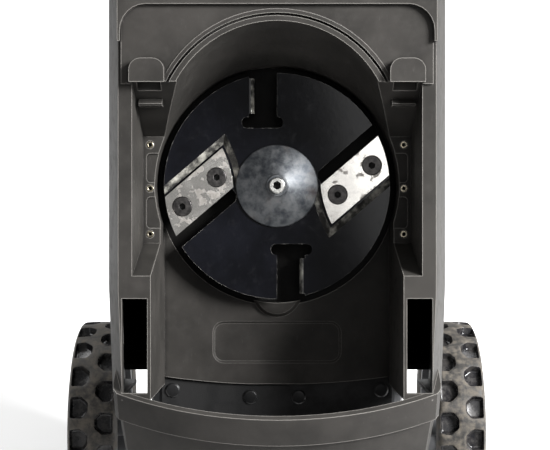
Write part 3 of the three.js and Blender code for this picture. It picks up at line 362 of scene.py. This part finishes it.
def shade_socket(name, reach):
    """Blackens, as painted shade, a fastener's faces that lie in its socket, within reach millimetres of
    its axis.
    """
    mesh = frame["nodes"][name].data
    mesh.materials.append(SOCKET_SHADE)
    across = [Vector(((v.co - CENTRE).dot(U), (v.co - CENTRE).dot(V))) for v in mesh.vertices]
    height = [(v.co - CENTRE).dot(N) for v in mesh.vertices]
    top = max(height)
    low = [min(a[k] for a in across) for k in (0, 1)]
    high = [max(a[k] for a in across) for k in (0, 1)]
    axis = Vector(((low[0] + high[0]) / 2, (low[1] + high[1]) / 2))
    for face in mesh.polygons:
        near = all((across[k] - axis).length < reach * MM for k in face.vertices)
        sunk = any(height[k] < top - SOCKET_RIM * MM for k in face.vertices)
        upper = all(height[k] > top - SOCKET_FLOOR * MM for k in face.vertices)
        if near and sunk and upper:
            face.material_index = 1


for name, reach in SOCKET_REACH.items():
    shade_socket(name, reach)

# ---------------------------------------------------------------- tyres with a pocketed tread

POCKETS = 20                     # pockets round each of the tread's two rows
TREAD_RADIUS = 120
SHOULDER_RADIUS = 112
SHOULDER = 7                     # how far in from the side the tread starts to round off
POCKET_DEPTH = 8.5
PITCH = 2 * math.pi * TREAD_RADIUS / POCKETS
CENTRE_RIB = 3.6                 # half width of the zigzag rib between the rows
GRID = 3.1                       # spacing of the tread's points
# How far a pocket's wall has moved in at each depth, from its lip to its floor.
POCKET_WALL = ((0.0, 0.0), (0.35, 0.25), (0.7, 0.9), (1.7, POCKET_DEPTH - 1.6),
               (2.6, POCKET_DEPTH - 0.4), (4.2, POCKET_DEPTH))
CROWN = 0.0016                   # how fast the tread falls away from its middle
CREASE_DEGREES = 50


def rounded(outline, radius, steps=4):
    """The closed outline with each corner rounded."""
    result = []
    for i, corner in enumerate(outline):
        neighbours = (corner, outline[i - 1], outline[(i + 1) % len(outline)])
        corner, before, after = (Vector(point) for point in neighbours)
        a = corner + (before - corner).normalized() * radius
        b = corner + (after - corner).normalized() * radius
        for k in range(steps + 1):
            t = k / steps
            result.append(a * (1 - t) ** 2 + corner * 2 * t * (1 - t) + b * t ** 2)
    return result


def inset(outline, amount):
    """The outline moved inwards by amount, scaled about its middle."""
    middle = sum(outline, Vector((0, 0))) / len(outline)
    spans = [max(abs(p[k] - middle[k]) for p in outline) for k in (0, 1)]
    shares = [1 - amount / span for span in spans]
    return [middle + Vector((p - middle)[k] * shares[k] for k in (0, 1)) for p in outline]


def inside(point, outline):
    """Whether the closed outline goes round the point."""
    crossings = False
    for a, b in zip(outline, outline[1:] + outline[:1]):
        if (a[1] > point[1]) != (b[1] > point[1]):
            at = a[0] + (point[1] - a[1]) * (b[0] - a[0]) / (b[1] - a[1])
            crossings ^= point[0] < at
    return crossings


def tread_cell(half):
    """One repeat of the tread laid flat.

    Returns points (distance round the tyre, across it, depth) and faces with their kind, 1 inside a
    pocket and 0 elsewhere.
    """
    wide = half - 3.0
    pocket = rounded([(-13.0, -wide), (12.0, -wide), (13.5, -13), (5.5, -CENTRE_RIB), (-5.5, -CENTRE_RIB),
                      (-13.5, -10)], 2.6)
    turned = [Vector((PITCH / 2 - p[0], -p[1])) for p in pocket]
    left = [Vector((-PITCH / 2, -half)), Vector((-PITCH / 2, -CENTRE_RIB)), Vector((0, CENTRE_RIB)),
            Vector((0, half))]
    side = []
    for a, b in zip(left, left[1:]):
        count = max(2, round((b - a).length / GRID))
        side += [a.lerp(b, k / count) for k in range(count)]
    side.append(left[-1])
    count = round(PITCH / GRID)
    low = [Vector((-PITCH / 2 + PITCH * k / count, -half)) for k in range(1, count)]
    high = [Vector((PITCH * k / count, half)) for k in range(1, count)]
    shift = Vector((PITCH, 0))
    cell = side + high + [p + shift for p in reversed(side)] + list(reversed(low))
    free = []
    rows, columns = round(2 * half / GRID), round(1.5 * PITCH / GRID)
    margin = [inset(pocket, -1.6), inset(turned, -1.6)]
    for i in range(1, rows):
        for j in range(columns):
            along = 1.5 * PITCH * (j + 0.5 * (i % 2)) / columns
            p = Vector((-PITCH / 2 + along, -half + 2 * half * i / rows))
            clear = min((p - q).length for q in cell) > 1.4
            if clear and inside(p, cell) and not any(inside(p, m) for m in margin):
                free.append(p)
    points, edges = [], []
    for loop in (cell, pocket, turned):
        first = len(points)
        points += loop
        edges += [(first + k, first + (k + 1) % len(loop)) for k in range(len(loop))]
    points += free
    flat, _, faces, *_ = geometry.delaunay_2d_cdt(points, edges, [], 0, 0.001)
    kept = []
    for face in faces:
        middle = sum((flat[k] for k in face), Vector((0, 0))) / len(face)
        if inside(middle, cell) and not inside(middle, pocket) and not inside(middle, turned):
            kept.append((tuple(face), 0))
    verts = [(p.x, p.y, 0.0) for p in flat]
    for loop in (pocket, turned):
        rings = [[(p.x, p.y, depth) for p in inset(loop, amount)] for amount, depth in POCKET_WALL]
        first = len(verts)
        for ring in rings:
            verts += ring
        count = len(loop)
        for level in range(len(rings) - 1):
            for k in range(count):
                a, b = first + level * count + k, first + level * count + (k + 1) % count
                kept.append(((a, b, b + count, a + count), 0 if level < 1 else 1))
        last = first + (len(rings) - 1) * count
        kept.append((tuple(range(last, last + count)), 1))
    return verts, kept


def tread_radius(across, half):
    """The land's radius at a distance from the middle of the tread."""
    crown = TREAD_RADIUS - CROWN * across * across
    over = max(0.0, (abs(across) - (half - SHOULDER)) / SHOULDER)
    return crown - (TREAD_RADIUS - SHOULDER_RADIUS - 0.6) * (1 - math.sqrt(max(0.0, 1 - over * over)))


def tyre(side):
    """Makes one wheel's tyre, which stands in for the CAD's plain one."""
    low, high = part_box(f"{side}_tyre")
    middle = (low + high) / 2
    half = (high.x - low.x) / MM / 2
    outward = -1 if side == "left" else 1
    mesh = bmesh.new()
    cell, faces = tread_cell(half)
    for turn in range(POCKETS):
        made = []
        for around, across, depth in cell:
            angle = (around / PITCH + turn) * 2 * math.pi / POCKETS
            radius = tread_radius(across, half) - depth
            made.append(mesh.verts.new(middle + Vector((across * outward, radius * math.cos(angle),
                                                        radius * math.sin(angle))) * MM))
        for face, kind in faces:
            mesh.faces.new([made[k] for k in face]).material_index = kind
    # Sides and bore: shoulder, a raised bead ring and the bore, turned about the axle. The far side's
    # points start half a pocket on, as the tread's far edge does.
    profile = [(half, tread_radius(half, half)), (half - 0.1, 109), (half - 1.0, 107.5),
               (half - 1.0, 103), (half - 0.2, 102), (half - 0.2, 98), (half - 1.4, 96.5),
               (half - 2, 92.6), (half - 3, 92)]
    profile = profile + [(-x, r) for x, r in reversed(profile)]
    steps = POCKETS * round(PITCH / GRID)
    rings = []
    for x, radius in profile:
        ring = []
        for k in range(steps):
            angle = (k / steps + (0.5 / POCKETS if x < 0 else 0.0)) * 2 * math.pi
            ring.append(mesh.verts.new(middle + Vector((x * outward, radius * math.cos(angle),
                                                        radius * math.sin(angle))) * MM))
        rings.append(ring)
    shift = steps // POCKETS // 2
    for index, (a, b) in enumerate(zip(rings, rings[1:])):
        crossing = profile[index][0] > 0 > profile[index + 1][0]
        for k in range(steps):
            following = (k + 1) % steps
            back = shift if crossing else 0
            mesh.faces.new((a[k], a[following], b[(following - back) % steps], b[(k - back) % steps]))
    bmesh.ops.remove_doubles(mesh, verts=mesh.verts, dist=0.00003)
    bmesh.ops.recalc_face_normals(mesh, faces=mesh.faces)
    data = bpy.data.meshes.new(f"{side}_tread")
    mesh.to_mesh(data)
    mesh.free()
    data.shade_smooth()
    data.set_sharp_from_angle(angle=math.radians(CREASE_DEGREES))
    data.materials.append(FINISHES["tyre_rubber"])
    data.materials.append(TYRE_POCKET)
    piece = bpy.data.objects.new(f"{side}_tread", data)
    bpy.context.scene.collection.objects.link(piece)
    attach(piece, f"{side}_wheel")
    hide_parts(f"{side}_tyre")


TYRE_POCKET = rubber(
    "tyre_pocket", (0.006, 0.006, 0.007), (0.05, 0.045, 0.04), 0.35, 3.0, (0.16, 0.4))
for wheel_side in ("left", "right"):
    tyre(wheel_side)

# ---------------------------------------------------------------- studio

def aim(thing, target):
    """Turns a lamp towards a point."""
    thing.rotation_euler = (Vector(target) - thing.location).to_track_quat("-Z", "Y").to_euler()


def softbox(name, location, target, width, height, power):
    """A rectangular area lamp, in metres and watts, aimed at a point."""
    light = bpy.data.lights.new(name, "AREA")
    light.shape = "RECTANGLE"
    light.size = width
    light.size_y = height
    light.energy = power
    lamp = bpy.data.objects.new(name, light)
    bpy.context.scene.collection.objects.link(lamp)
    lamp.location = location
    aim(lamp, target)


FLOOR_HALF = 14.0
floor_mesh = bpy.data.meshes.new("studio_floor")
corners = [(-FLOOR_HALF, -FLOOR_HALF, 0), (FLOOR_HALF, -FLOOR_HALF, 0),
           (FLOOR_HALF, FLOOR_HALF, 0), (-FLOOR_HALF, FLOOR_HALF, 0)]
floor_mesh.from_pydata(corners, [], [(0, 1, 2, 3)])
floor = bpy.data.objects.new("studio_floor", floor_mesh)
bpy.context.scene.collection.objects.link(floor)
paper = Finish("studio_paper", specular=0.1)
tint = paper.mix(paper.step(paper.noise(400, 2), 0.3, 0.7), (0.56, 0.56, 0.56), (0.60, 0.60, 0.60))
floor_mesh.materials.append(paper.done(tint, 0.9))

BEHIND = Vector((0, 1.1, 0))      # the floor behind the machine
softbox("key", place(1950, 850, 1500), CENTRE, 0.9, 0.9, 400)
softbox("front_panel", place(620, 420, 2100), CENTRE, 1.0, 1.0, 8)
softbox("fill", CENTRE + Vector((-1.6, -2.0, 0.6)), CENTRE, 1.4, 1.4, 8)
for number, reach in enumerate((-1.5, 1.5)):
    above = BEHIND + Vector((reach, 0.6, 2.3))
    softbox(f"floor_wash_{number + 1}", above, BEHIND + Vector((reach / 4, 0, 0)), 1.8, 1.4, 62)
softbox("left_wash", Vector((-1.6, 0.3, 1.6)), Vector((-0.5, 0.5, 0)), 0.8, 0.8, 14)

WORLD_STRENGTH = 0.32
world = bpy.data.worlds.new("studio")
bpy.context.scene.world = world
world.use_nodes = True
background = world.node_tree.nodes["Background"]
background.inputs["Color"].default_value = (1, 1, 1, 1)
background.inputs["Strength"].default_value = WORLD_STRENGTH
bpy.context.scene.view_settings.view_transform = "Standard"

# ---------------------------------------------------------------- camera

CAMERA_DISTANCE = 1300
CAMERA_LENS = 85.09
CAMERA_SENSOR = 36
camera_data = bpy.data.cameras.new("camera")
camera_data.sensor_width = CAMERA_SENSOR
camera_data.lens = CAMERA_LENS
camera = bpy.data.objects.new("camera", camera_data)
bpy.context.scene.collection.objects.link(camera)
camera.location = place(-2, -39, CAMERA_DISTANCE)
camera.rotation_euler = Matrix((U, V, N)).transposed().to_euler()
bpy.context.scene.camera = camera
